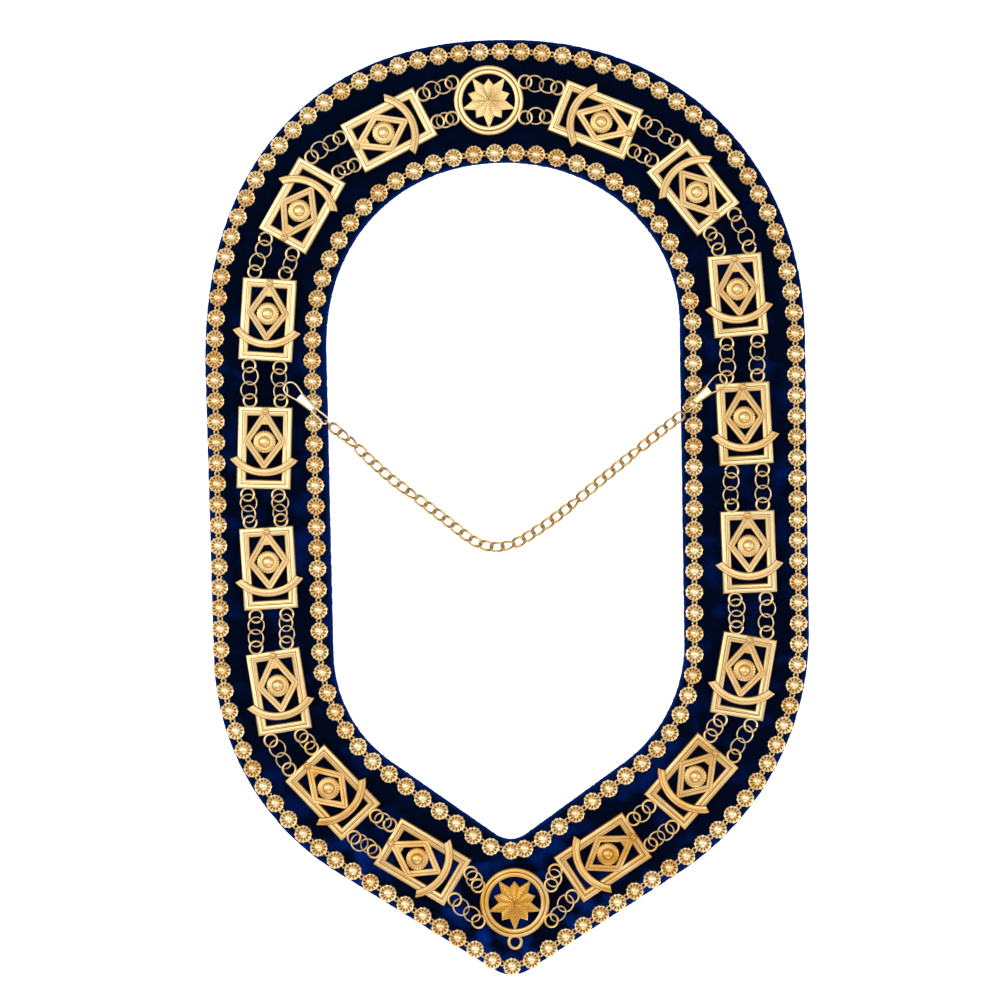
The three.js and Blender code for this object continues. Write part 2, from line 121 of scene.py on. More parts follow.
# An eyelet's middle: its height over the piece's foot, how far outside its piece, and for a
# plaque how far from its centre line.
EYELET_Z, EYELET_OUT, EYELET_X = 3.4, 3.5, 9.4
MEDAL_OUTER = 21.3
MEDAL_EYELET_ANGLE = math.radians(26)
LOOSE_RING_RADIUS, LOOSE_RING_WIRE = 5.2, 1.05
# The frame's rings, whose sizes set how far apart the rings of a string lie.
FRAME_RING_RADIUS, FRAME_RING_WIRE = 5.15, 1.1
RING_TILTS = (math.radians(21), math.radians(36))
# How far a loose ring may lie to one side, and the angle left open at its joint.
RING_ASIDE, RING_GAP = 0.9, 0.05
STRING_Z = 6.8
JEWEL_RING_RADIUS, JEWEL_RING_WIRE = 3.8, 2.0
JEWEL_RING_Y, JEWEL_RING_Z = -23.9, 2.0

# ---- the shoulder chain and its clasps ----

CHAIN_PITCH = 6.95
CHAIN_ROUTE = [
    (-104.5, 48, 6.6), (-98.6, 43, 4.6), (-92.9, 38.1, 2.4), (-87, 32.4, 1.7), (-83.6, 28.9, 1.6),
    (-69.7, 16.4, 1.6), (-53.2, 3.9, 1.6), (-37.4, -8.4, 1.6), (-20.6, -21.2, 1.6), (-8.4, -24.9, 1.6),
    (0.4, -23.9, 1.6), (8.6, -20.9, 1.6), (27, -9, 1.6), (43, 3.4, 1.6), (57.6, 15.4, 1.6),
    (72.6, 27.5, 1.6), (87.3, 39.3, 1.7), (92.8, 43.7, 2.4), (98.4, 48.2, 4.6), (104.9, 53.1, 6.6),
]
LINK_LONG, LINK_WIDE, LINK_WIRE = 9.5, 6.9, 1.65
# The upright ring past each end of the chain: its size, height, and distance from the last link.
END_RING_RADIUS, END_RING_WIRE, END_RING_Z, END_RING_OUT = 2.3, 1.0, 7.9, 5.65
CLASP_PLACES = {
    "left": dict(at=(-118, 60.2, 9.2), heading=137, roll=7, loop_long=10.9, bow_long=11.9, tint=0.2),
    "right": dict(at=(114.8, 62.5, 8.7), heading=39, roll=-7, loop_long=12.5, bow_long=8.2, tint=1.4),
}
CLASP_PITCH = math.radians(-2)
CLASP_LONG = 11.2
CLASP_NARROW_HALF, CLASP_WIDE_HALF = 1.85, 3.1
CLASP_WIRE = 1.1

# ---- camera ----

# The width seen at the height of the gilt, the middle of the view, and the collar's small turn.
VIEW_WIDE, GILT_HEIGHT = 610, 5
VIEW_MIDDLE = (-4.54, 3.71)
VIEW_TURN = math.radians(-0.57)
LENS, SENSOR = 100, 36


def set_camera():
    """A long lens straight above, turned by the small angle at which the collar lies."""
    camera = bpy.data.cameras.new("camera")
    camera.lens = LENS
    camera.sensor_width = SENSOR
    camera.clip_end = 20
    holder = bpy.data.objects.new("camera", camera)
    bpy.context.collection.objects.link(holder)
    holder.location = Vector((*VIEW_MIDDLE, VIEW_WIDE * LENS / SENSOR + GILT_HEIGHT)) * MM
    holder.rotation_euler = (0, 0, VIEW_TURN)
    bpy.context.scene.camera = holder


set_camera()


# ---- materials ----


def linear(hex_colour):
    """An sRGB hex colour as linear light."""
    parts = [int(hex_colour[i:i + 2], 16) / 255 for i in (1, 3, 5)]
    return (*(c / 12.92 if c <= 0.04045 else ((c + 0.055) / 1.055) ** 2.4 for c in parts), 1)


def add_node(tree, kind, inputs=None, **settings):
    """One shader node: its settings, and for each input a value or the socket that feeds it."""
    made = tree.nodes.new(kind)
    for name, value in settings.items():
        setattr(made, name, value)
    for name, value in (inputs or {}).items():
        if isinstance(value, bpy.types.NodeSocket):
            tree.links.new(value, made.inputs[name])
        else:
            made.inputs[name].default_value = value
    return made


def repeats(size_mm):
    """How often a pattern of a size in millimetres repeats in a metre."""
    return 1 / (size_mm * MM)


def blank_material(name):
    material = bpy.data.materials.new(name)
    material.use_nodes = True
    material.node_tree.nodes.clear()
    return material, material.node_tree


def finish_material(tree, shader):
    add_node(tree, "ShaderNodeOutputMaterial", {"Surface": shader.outputs[0]})


def silk_velvet():
    """Navy silk velvet, woven with a cut pile about 1 mm high: almost black seen straight down the pile,
    with a sheen painted as brighter blue where the pile is brushed over and along the turned edges,
    and no highlight of its own."""
    material, tree = blank_material("silk_velvet")
    place = add_node(tree, "ShaderNodeTexCoord").outputs["Object"]
    # How near each spot is to a turned edge, where the sheen is painted as brighter blue.
    turned = add_node(tree, "ShaderNodeAttribute", attribute_name="turned").outputs["Fac"]
    brushed = add_node(tree, "ShaderNodeAttribute", attribute_name="brushed").outputs["Fac"]
    # Patches 26 mm and 13 mm across, where a hand has pushed the pile and its sheen is painted as
    # brighter blue.
    wide = add_node(tree, "ShaderNodeTexNoise", {
        "Vector": place, "Scale": repeats(26.32), "Detail": 3, "Distortion": 0.6})
    close = add_node(tree, "ShaderNodeTexNoise", {
        "Vector": place, "Scale": repeats(13.33), "Detail": 2, "Roughness": 0.45})
    # The pile's tufts, drawn 0.9 mm apart where the real ones are 0.3 mm.
    tuft = add_node(tree, "ShaderNodeTexNoise", {"Vector": place, "Scale": repeats(0.909), "Detail": 2})
    patch = add_node(tree, "ShaderNodeMath", {0: wide.outputs["Fac"], 1: close.outputs["Fac"]},
                     operation="MULTIPLY")
    patch = add_node(tree, "ShaderNodeMapRange", {
        "Value": patch.outputs[0], "From Min": 0.23, "From Max": 0.45, "To Min": 0.0, "To Max": 1.0})
    # Painted sheen: brushed patches lift the navy to a brighter blue.
    brushed_sheen = add_node(tree, "ShaderNodeMath", {0: patch.outputs[0], 1: brushed}, operation="MULTIPLY")
    pile = add_node(tree, "ShaderNodeMix", {
        "Factor": brushed_sheen.outputs[0], "A": linear("#00071C"), "B": linear("#002A8A")}, data_type="RGBA")
    # Painted sheen: the cloth turns brighter blue towards its turned edges.
    edge = add_node(tree, "ShaderNodeMix", {
        "Factor": turned, "A": pile.outputs["Result"], "B": linear("#04246C")}, data_type="RGBA")
    speck = add_node(tree, "ShaderNodeMapRange", {
        "Value": tuft.outputs["Fac"], "From Min": 0.3, "From Max": 0.7, "To Min": 0.72, "To Max": 1.3})
    cloth = add_node(tree, "ShaderNodeVectorMath", {0: edge.outputs["Result"], 1: speck.outputs[0]},
                     operation="MULTIPLY")
    pits = add_node(tree, "ShaderNodeBump", {
        "Height": tuft.outputs["Fac"], "Strength": 0.5, "Distance": 0.0004})
    shader = add_node(tree, "ShaderNodeBsdfPrincipled", {
        "Base Color": cloth.outputs[0], "Roughness": 0.95, "IOR": 1.45, "Specular IOR Level": 0.02,
        "Sheen Weight": 0.14, "Sheen Roughness": 0.35, "Sheen Tint": linear("#0A48D8"),
        "Normal": pits.outputs[0]})
    finish_material(tree, shader)
    return material


RIB_DEEP = 0.12


def gilt(name, high, middle, recess_shade, polish, grain_mm, grain_deep, ribs_mm=0.0):
    """Gold-plated brass, its colour following how raised each spot is: raised spots pale as painted
    highlight, flats a satin yellow, recesses brown as painted shade. A grain and, where given, ribs
    roughen it."""
    material, tree = blank_material(name)
    place = add_node(tree, "ShaderNodeTexCoord").outputs["Object"]
    lift = add_node(tree, "ShaderNodeAttribute", attribute_name="lift").outputs["Fac"]
    tint = add_node(tree, "ShaderNodeAttribute", attribute_name="tint").outputs["Fac"]
    grain = add_node(tree, "ShaderNodeTexNoise", {
        "Vector": place, "Scale": repeats(grain_mm), "Detail": 3, "Roughness": 0.6})
    # Lacquer and plating vary over about 12 mm.
    cloud = add_node(tree, "ShaderNodeTexNoise", {"Vector": place, "Scale": repeats(11.76), "Detail": 2})
    raised = add_node(tree, "ShaderNodeMath", {0: grain.outputs["Fac"], 1: -0.5}, operation="ADD")
    raised = add_node(tree, "ShaderNodeMath", {0: raised.outputs[0], 1: 0.5, 2: lift},
                      operation="MULTIPLY_ADD")
    # Painted shade and highlight: brown in the recesses as painted shade, through satin yellow, to a
    # pale painted highlight on the highest spots.
    body = add_node(tree, "ShaderNodeValToRGB", {"Fac": raised.outputs[0]})
    ramp = body.color_ramp.elements
    ramp[0].position, ramp[0].color = 0.08, linear(recess_shade)
    ramp[1].position, ramp[1].color = 0.95, linear(high)
    ramp.new(0.5).color = linear(middle)
    warmth = add_node(tree, "ShaderNodeMath", {0: cloud.outputs["Fac"], 1: tint}, operation="MULTIPLY")
    colour = add_node(tree, "ShaderNodeMix", {
        "Factor": warmth.outputs[0], "A": body.outputs["Color"], "B": linear("#E6C27C")},
        data_type="RGBA", blend_type="MULTIPLY")
    dull = add_node(tree, "ShaderNodeMapRange", {
        "Value": raised.outputs[0], "From Min": 0.0, "From Max": 1.0,
        "To Min": polish + 0.22, "To Max": polish})
    relief = add_node(tree, "ShaderNodeBump", {
        "Height": grain.outputs["Fac"], "Strength": 0.6, "Distance": grain_deep * MM})
    if ribs_mm:
        along = add_node(tree, "ShaderNodeAttribute", attribute_name="along").outputs["Fac"]
        turns = add_node(tree, "ShaderNodeMath", {0: along, 1: 2 * math.pi / ribs_mm},
                         operation="MULTIPLY")
        wave = add_node(tree, "ShaderNodeMath", {0: turns.outputs[0]}, operation="SINE")
        relief = add_node(tree, "ShaderNodeBump", {
            "Height": wave.outputs[0], "Strength": 0.55, "Distance": RIB_DEEP * MM,
            "Normal": relief.outputs[0]})
    shader = add_node(tree, "ShaderNodeBsdfPrincipled", {
        "Base Color": colour.outputs["Result"], "Metallic": 1.0, "Roughness": dull.outputs[0],
        "Normal": relief.outputs[0]})
    finish_material(tree, shader)
    return material


velvet_cloth = silk_velvet()
# Thin sheet stamped into rosettes: soft edges, beads in painted highlight, slots in brown painted shade.
stamped_gilt = gilt("stamped_gilt", "#FBEDCC", "#E0BF84", "#6A4408", 0.4, 0.9, 0.04)
# Cast brass, tumbled and plated: satin, with a fine sand grain and milled ribs.
cast_gilt = gilt("cast_gilt", "#F5E1B4", "#DFC284", "#7C5A22", 0.4, 0.9, 0.035, ribs_mm=0.9)
# Drawn wire cut and bent into rings: smooth, and paler than the castings.
drawn_gilt_wire = gilt("drawn_gilt_wire", "#E4D0AE", "#C0A27A", "#6E5030", 0.34, 1.5, 0.02)
# Machine-made curb chain with a thin flash of gold.
curb_gilt = gilt("curb_gilt", "#D8C090", "#B69A66", "#6A4C20", 0.5, 1.2, 0.03)
# Folded sheet and spring wire, plated and polished bright.
polished_gilt = gilt("polished_gilt", "#F8EACC", "#DDBE86", "#7E5620", 0.28, 2.5, 0.015)


# ---- making and placing pieces ----


def clamped(value):
    return max(0.0, min(1.0, value))


def mark(bm, low, high, along=None):
    """Record on each vertex how raised it is between two heights, which sets the gilt's painted shade
    and highlight, and how far along its bar it is.
    """
    lift = bm.verts.layers.float.get("lift") or bm.verts.layers.float.new("lift")
    way = bm.verts.layers.float.get("along") or bm.verts.layers.float.new("along")
    for vert in bm.verts:
        vert[lift] = clamped((vert.co.z - low) / (high - low))
        vert[way] = along(vert.co) if along else 0.0
    return bm


def as_mesh(bm, name="part"):
    mesh = bpy.data.meshes.new(name)
    bm.to_mesh(mesh)
    bm.free()
    return mesh


def joined(*parts):
    """Several parts as one, keeping what is marked on each."""
    whole = bmesh.new()
    for part in parts:
        mesh = as_mesh(part)
        whole.from_mesh(mesh)
        bpy.data.meshes.remove(mesh)
    return whole


def lay(bm, mesh, place, tint=0.0):
    """Add a copy of a mesh to a piece at a place, with a tint of its own."""
    first = len(bm.verts)
    bm.from_mesh(mesh)
    shade = bm.verts.layers.float.get("tint") or bm.verts.layers.float.new("tint")
    bm.verts.ensure_lookup_table()
    for vert in bm.verts[first:]:
        vert.co = place @ vert.co
        vert[shade] = tint


def finish_piece(name, bm, material, crease=40):
    """The finished piece: in metres, smooth but for its creases, riding and standing for its node."""
    bmesh.ops.scale(bm, vec=(MM, MM, MM), verts=bm.verts)
    mesh = as_mesh(bm, name)
    mesh.materials.append(material)
    mesh.shade_smooth()
    mesh.set_sharp_from_angle(angle=math.radians(crease))
    piece = bpy.data.objects.new(name, mesh)
    bpy.context.collection.objects.link(piece)
    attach(piece, "root")
    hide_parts(name.removesuffix("_piece"))
    return piece


def turned(angle_deg, at=(0, 0, 0)):
    return Matrix.Translation(at) @ Matrix.Rotation(math.radians(angle_deg), 4, "Z")


def spun(profile, steps, sweep=2 * math.pi):
    """A closed outline of (radius, height) points turned about the middle, capped if it stops short."""
    bm = bmesh.new()
    points = [bm.verts.new((radius, 0, height)) for radius, height in profile]
    edges = [bm.edges.new((a, b)) for a, b in zip(points, points[1:] + points[:1])]
    whole = abs(sweep - 2 * math.pi) < 1e-6
    start = bmesh.ops.contextual_create(bm, geom=edges)["faces"] if not whole else []
    swept = start + points + edges
    bmesh.ops.spin(bm, geom=swept, cent=(0, 0, 0), axis=(0, 0, 1), dvec=(0, 0, 0), angle=sweep,
                   steps=steps, use_merge=whole, use_normal_flip=False, use_duplicate=False)
    if not whole:
        bmesh.ops.holes_fill(bm, edges=bm.edges, sides=0)
    bmesh.ops.remove_doubles(bm, verts=bm.verts, dist=1e-4)
    bmesh.ops.recalc_face_normals(bm, faces=bm.faces)
    return bm


def wire_ring(radius, across, tall, around, sides, gap=0.0):
    """A ring of wire lying flat; across and tall are the wire's sizes, gap the angle left open."""
    profile = [(radius + across / 2 * math.cos(2 * math.pi * i / sides),
                tall / 2 * math.sin(2 * math.pi * i / sides)) for i in range(sides)]
    return spun(profile, around, 2 * math.pi - gap)


def drawn_wire(points, wire, closed, bevel_steps):
    """Round wire along a line of points."""
    curve = bpy.data.curves.new("wire", "CURVE")
    curve.dimensions = "3D"
    curve.bevel_depth = wire / 2
    curve.bevel_resolution = bevel_steps
    curve.use_fill_caps = True
    spline = curve.splines.new("POLY")
    spline.points.add(len(points) - 1)
    for knot, at in zip(spline.points, points):
        knot.co = (*at, 1)
    spline.use_cyclic_u = closed
    holder = bpy.data.objects.new("wire", curve)
    mesh = bpy.data.meshes.new_from_object(holder)
    bm = bmesh.new()
    bm.from_mesh(mesh)
    bpy.data.objects.remove(holder)
    bpy.data.curves.remove(curve)
    bpy.data.meshes.remove(mesh)
    bmesh.ops.remove_doubles(bm, verts=bm.verts, dist=1e-4)
    bmesh.ops.recalc_face_normals(bm, faces=bm.faces)
    return bm


# ---- outlines ----


def rounded_corner(before, corner, after, radius, steps):
    """The arc that rounds the corner between two straight lines."""
    inward, outward = (before - corner).normalized(), (after - corner).normalized()
    half = inward.angle(outward) / 2
    middle = corner + (inward + outward).normalized() * radius / math.sin(half)
    start = corner + inward * radius / math.tan(half) - middle
    end = corner + outward * radius / math.tan(half) - middle
    turn = math.atan2(start.x * end.y - start.y * end.x, start.dot(end))
    arc = []
    for i in range(steps + 1):
        cos, sin = math.cos(turn * i / steps), math.sin(turn * i / steps)
        arc.append(middle + Vector((start.x * cos - start.y * sin, start.x * sin + start.y * cos)))
    return arc


TIP_STEPS, CORNER_STEPS, ARCH_STEPS = 16, 60, 120


def half_outline(line, side):
    """One half of a closed line, drawn on the right, in runs: tip, V, corner, side and arch."""
    half, slope, tip_y = line[side], line["slope"], line["tip_y"]
    hip, shoulder = Vector((half["hip"], HIP_Y)), Vector((half["arch"], half["centre_y"]))
    lean = (hip.x - shoulder.x) / (hip.y - shoulder.y)
    knee_y = (tip_y + slope * (shoulder.x - lean * shoulder.y)) / (1 - slope * lean)
    knee = Vector((shoulder.x + lean * (knee_y - shoulder.y), knee_y))
    tip = Vector((0, tip_y))
    tip_arc = rounded_corner(Vector((-knee.x, knee.y)), tip, knee, line["tip_radius"], TIP_STEPS)
    tip_arc = tip_arc[TIP_STEPS // 2:]
    corner = rounded_corner(tip, knee, shoulder, half["corner"], CORNER_STEPS)
    power = 2 / half["square"]
    tall = line["back_y"] - half["centre_y"]
    quarter = [math.pi / 2 * i / ARCH_STEPS for i in range(ARCH_STEPS + 1)]
    arch = [Vector((half["arch"] * max(0.0, math.cos(a)) ** power,
                    half["centre_y"] + tall * math.sin(a) ** power)) for a in quarter]
    return [tip_arc, [tip_arc[-1], corner[0]], corner, [corner[-1], arch[0]], arch]


def evenly(line, count):
    """Points spaced evenly along a line, its start among them and its end not."""
    reach = [0.0]
    for a, b in zip(line, line[1:]):
        reach.append(reach[-1] + (b - a).length)
    points, i = [], 0
    for n in range(count):
        distance = reach[-1] * n / count
        while reach[i + 1] < distance:
            i += 1
        points.append(line[i].lerp(line[i + 1], (distance - reach[i]) / (reach[i + 1] - reach[i])))
    return points


def whole_outline(line, counts):
    """A closed line, anticlockwise from its tip, with a number of points in each of its runs."""
    halves = []
    for side in ("right", "left"):
        runs = zip(half_outline(line, side), counts)
        halves.append([point for run, count in runs for point in evenly(run, count)])
    right, left = halves
    back = Vector((0, line["back_y"]))
    return right + [back] + [Vector((-p.x, p.y)) for p in reversed(left[1:])]


# ---- velvet ----

# How many points the velvet's outline has on its tip, V, corner, side and arch.
VELVET_RUNS = (4, 78, 50, 84, 150)
# How far in from an edge its fibres stand out unevenly, and how far in its sheen along the turned edge
# is painted as brighter blue.
FRAYED_WIDE, EDGE_SHEEN_WIDE = 1.6, 3.2
# The pile is brushed over at the front of the V, and less along the sides, where its sheen is painted as
# brighter blue: where each begins, and how far it takes to grow.
FRONT_Y, FRONT_FADE = -196, 30
SIDE_Y, SIDE_FADE = 170, 90
# The edge turned under, over and beneath: (distance in from the edge, height). Between the two
# edges the section's points are shares of the band's width.
TURNED_EDGE = [(0.0, 1.3), (0.18, 2.05), (0.6, 2.62), (1.4, 2.92), (2.8, 3.0)]
MIDDLE_SHARES = [0.09, 0.14, 0.2, 0.27, 0.34, 0.42, 0.5, 0.58, 0.66, 0.73, 0.8, 0.86, 0.91]
UNDER_EDGE = [(2.0, 0.0), (0.6, 0.16), (0.12, 0.6)]
UNDER_SHARES = (0.75, 0.5, 0.25)


def velvet_profile():
    """Round the band's section once: (share across, mm in from that side's edge, height)."""
    over = [(0, inset, z) for inset, z in TURNED_EDGE]
    over += [(share, 0, VELVET_TOP) for share in MIDDLE_SHARES]
    over += [(1, -inset, z) for inset, z in reversed(TURNED_EDGE)]
    under = [(1, -inset, z) for inset, z in reversed(UNDER_EDGE)]
    under += [(share, 0, 0.0) for share in UNDER_SHARES]
    under += [(0, inset, z) for inset, z in UNDER_EDGE]
    return over + under


def brushing(x, y):
    """How far the pile is brushed over at a place, which sets how much painted sheen it shows."""
    front = clamped((FRONT_Y - y) / FRONT_FADE)
    side = clamped((SIDE_Y - y) / SIDE_FADE)
    patchy = 0.5 + 0.5 * noise.noise(Vector((x + 70, y, 9)) * 0.02)
    return clamped(0.04 + 0.15 * side + 0.75 * front + 0.25 * side * patchy ** 2)


def make_velvet():
    """A band cut to the collar's outline, its cloth turned under round a stiff lining: a grid wound
    round the collar one way and round the section the other."""
    outer = whole_outline(OUTER_EDGE, VELVET_RUNS)
    inner = whole_outline(INNER_EDGE, VELVET_RUNS)
    profile = velvet_profile()
    bm = bmesh.new()
    bmesh.ops.create_grid(bm, x_segments=len(outer), y_segments=len(profile), size=1)
    edge_sheen_layer = bm.verts.layers.float.new("turned")
    brushed = bm.verts.layers.float.new("brushed")
    for vert in bm.verts:
        i = round((vert.co.x + 1) / 2 * len(outer)) % len(outer)
        j = round((vert.co.y + 1) / 2 * len(profile)) % len(profile)
        share, inset, height = profile[j]
        across = inner[i] - outer[i]
        at = outer[i] + across * share + across.normalized() * inset
        from_edge = min((at - outer[i]).length, (at - inner[i]).length)
        place = Vector((at.x, at.y, 0))
        # Fibres stand out unevenly along the edges, and the lining ripples a little under the pile.
        rag = 0.28 * noise.noise(place * 0.9) + 0.16 * noise.noise(place * 2.3)
        near = clamped(1 - from_edge / FRAYED_WIDE)
        at = at + across.normalized() * rag * near * (1 if share < 0.5 else -1)
        if height >= VELVET_TOP:
            height += 0.12 * noise.noise(place * 0.05) + 0.06 * noise.noise(place * 0.16) + 0.1
        vert.co = (at.x, at.y, height)
        # Painted sheen along the turned edge, fading inwards.
        vert[edge_sheen_layer] = clamped(1 - from_edge / EDGE_SHEEN_WIDE) ** 1.5
        # Painted sheen where the pile is brushed over.
        vert[brushed] = brushing(at.x, at.y)
    bmesh.ops.remove_doubles(bm, verts=bm.verts, dist=1e-4)
    bmesh.ops.recalc_face_normals(bm, faces=bm.faces)
    velvet = finish_piece("velvet_collar_piece", bm, velvet_cloth, crease=80)


# ---- rosette trim ----


def ringed_disc(segments, loops, top):
    """A disc made of loops from its foot inwards, up to a point in the middle at the height top.
    A loop is (radius, height, how bright it is painted, as painted shade and highlight), once for its
    even points and once for its odd ones."""
    bm = bmesh.new()
    bmesh.ops.create_circle(bm, cap_ends=True, segments=segments, radius=loops[0][0][0])
    bm.faces.ensure_lookup_table()
    face = bm.faces[0]
    lift = bm.verts.layers.float.new("lift")
    for n, points in enumerate(loops):
        if n:
            bmesh.ops.inset_region(bm, faces=[face], thickness=0.02, use_even_offset=False,
                                   use_boundary=True)
        for vert in face.verts:
            i = round(math.atan2(vert.co.y, vert.co.x) / (2 * math.pi) * segments)
            radius, height, painted_light = points[i % 2]
            vert.co = (vert.co.xy.normalized() * radius).to_3d() + Vector((0, 0, height))
            vert[lift] = painted_light
    middle = bmesh.ops.poke(bm, faces=[face])["verts"][0]
    middle.co.z = top
    # The middle in painted highlight.
    middle[lift] = 1.0
    bmesh.ops.holes_fill(bm, edges=bm.edges, sides=0)
    bmesh.ops.recalc_face_normals(bm, faces=bm.faces)
    return bm


# How many points a trim's route has on its tip, V, corner, side and arch.
TRIM_RUNS = (8, 40, 60, 40, 120)
ROSETTE_TURN = 15
# How far the rosette that laps another is raised by it.
LAP_LIFT = 0.4
# Rosettes nearer to each other than this have no tie ring.
TIED_FROM = 10
# The rosette's loops: foot, scalloped rim, both ends of the ribs and slots, inner ring and dome.
ROSETTE_LOOPS = [
    ((5.7, 0, 0.5), (5.2, 0, 0.3)), ((5.2, 0.95, 1.1), (4.9, 0.85, 0.95)),
    ((4.4, 0.82, 0.8), (4.25, 0.3, 0.0)), ((3.1, 0.6, 0.48), (3.3, 0.3, 0.0)),
    ((2.4, 0.5, 0.42), (2.4, 0.5, 0.42)), ((1.6, 1.35, 1.0), (1.6, 1.35, 1.0)),
]


def rosette():
    """A stamped rosette: a scalloped rim round a dish, with twelve slots in brown painted shade and a
    dome in painted highlight.
    """
    return ringed_disc(24, ROSETTE_LOOPS, 1.6)


def tie_ring():
    """The small ring of flat wire that ties two rosettes together."""
    bm = wire_ring(1.35, 0.95, 0.8, 8, 4)
    bmesh.ops.translate(bm, vec=(0, 0, 0.5), verts=bm.verts)
    return mark(bm, 0.1, 1.2)


def make_trim(name, line, lap, seed):
    """Rosettes a pitch apart along a closed line, tied to each other and turned at random."""
    draw = random.Random(seed)
    route = whole_outline(line, TRIM_RUNS)
    ring = route + route[:1]
    length = sum((b - a).length for a, b in zip(ring, ring[1:]))
    count = round(length / ROSETTE_PITCH + lap)
    spacing = length / (count - lap)
    rosette_mesh, tie_mesh = as_mesh(rosette()), as_mesh(tie_ring())
    # A finer line to find places on, a share of its length from the start.
    fine = evenly(ring, 12 * len(route))
    bm = bmesh.new()
    places = []
    for n in range(count):
        distance = (length + (n + 1 - count) * spacing) % length
        way = distance / length * len(fine)
        i = int(way)
        places.append(fine[i].lerp(fine[(i + 1) % len(fine)], way - i))
    for n, at in enumerate(places):
        after = places[(n + 1) % count]
        foot = TRIM_FOOT + (LAP_LIFT if lap and n == 0 else 0)
        along = (after - at).normalized()
        heading = math.degrees(math.atan2(along.y, along.x))
        rosette_heading = heading + draw.uniform(-ROSETTE_TURN, ROSETTE_TURN)
        lay(bm, rosette_mesh, turned(rosette_heading, (at.x, at.y, foot)), draw.random() ** 2)
        middle = (at + after) / 2
        if (after - at).length > TIED_FROM:
            lay(bm, tie_mesh, turned(heading, (middle.x, middle.y, TRIM_FOOT)), 0.3)
    finish_piece(name, bm, stamped_gilt, crease=60)


# ---- plaques ----


def stepped_band(corners, steps, foot, edge_z, edge_painted_light):
    """A flat closed band that follows a polygon's corners: steps inwards over its face, then a wall
    down both sides and a flat back."""
    bm = bmesh.new()
    lift = bm.verts.layers.float.new("lift")
    face = bm.faces.new([bm.verts.new((x, y, edge_z)) for x, y in corners])
    bm.normal_update()
    if face.normal.z < 0:
        bmesh.ops.reverse_faces(bm, faces=[face])
    for vert in face.verts:
        vert[lift] = edge_painted_light
    for across, rise, painted_light in steps:
        bmesh.ops.inset_region(bm, faces=[face], thickness=across, depth=rise,
                               use_even_offset=True, use_boundary=True)
        for vert in face.verts:
            vert[lift] = painted_light
    bmesh.ops.delete(bm, geom=[face], context="FACES_ONLY")
    rims = [edge for edge in bm.edges if edge.is_boundary]
    walls = bmesh.ops.extrude_edge_only(bm, edges=rims)["geom"]
    for vert in walls:
        if isinstance(vert, bmesh.types.BMVert):
            vert.co.z = foot
            # The walls in painted shade.
            vert[lift] = 0.1
    bmesh.ops.bridge_loops(bm, edges=[e for e in bm.edges if e.is_boundary])
    bmesh.ops.recalc_face_normals(bm, faces=bm.faces)
    return bm


def plaque_frame():
    half_x, half_y = FRAME_WIDE / 2, FRAME_LONG / 2
    corners = [(-half_x, -half_y), (half_x, -half_y), (half_x, half_y), (-half_x, half_y)]
    return stepped_band(corners, RAIL_STEPS, 0, RAIL_EDGE_Z, 0.45)


def lozenge():
    """Four grooved bars with milled ribs, and a solid gusset where the upper two meet."""
    bars = stepped_band(LOZENGE_CORNERS, BAR_STEPS, BAR_FOOT_Z, BAR_EDGE_Z, 0.4)
    way = bars.verts.layers.float.new("along")
    for vert in bars.verts:
        vert[way] = vert.co.y * BAR_PER_Y
    gusset = bmesh.new()
    bmesh.ops.create_circle(gusset, cap_ends=True, segments=3, radius=GUSSET_RADIUS,
                            matrix=Matrix.Translation(GUSSET_AT))
    bmesh.ops.solidify(gusset, geom=gusset.faces[:], thickness=GUSSET_THICK)
    return joined(bars, mark(gusset, 2.4, 4.2))


# The sun's loops: rim of rays, their crest, the face, a groove in brown painted shade and the dome in
# painted highlight.
SUN_TOP = 5.08
SUN_LOOPS = [
    ((6.85, 0.8, 0.2), (6.6, 0.8, 0.1)), ((6.85, 3.6, 0.7), (6.55, 3.4, 0.4)),
    ((6.3, 4.1, 0.95), (6.2, 3.8, 0.45)), ((4.7, 4.35, 0.85), (4.7, 4.15, 0.5)),
    ((3.75, 4.25, 0.7), (3.75, 4.25, 0.7)), ((3.4, 3.85, 0.35), (3.4, 3.85, 0.35)),
    ((3.05, 3.85, 0.35), (3.05, 3.85, 0.35)), ((2.8, 4.25, 0.9), (2.8, 4.25, 0.9)),
    ((2.0, 4.75, 1.0), (2.0, 4.75, 1.0)), ((1.0, 5.0, 1.0), (1.0, 5.0, 1.0)),
]


def sun():
    """A disc with fluted rays at its rim, a plain ring and a dome in painted highlight."""
    bm = ringed_disc(44, SUN_LOOPS, SUN_TOP)
    bmesh.ops.translate(bm, vec=(0, SUN_Y, 0), verts=bm.verts)
    return bm


# Across the swag from its upper edge, as (distance from its middle, height): a broad upper rail,
# a fine channel and a narrower lower rail.
SWAG_SECTION = [
    (-2.4, 1.4), (-2.4, 3.7), (-2.1, 4.3), (-1.5, 4.6), (-0.4, 4.65), (0.4, 4.5), (0.6, 4.25),
    (0.8, 4.25), (1.0, 4.5), (1.6, 4.55), (2.2, 4.2), (2.45, 3.6), (2.45, 1.4),
]


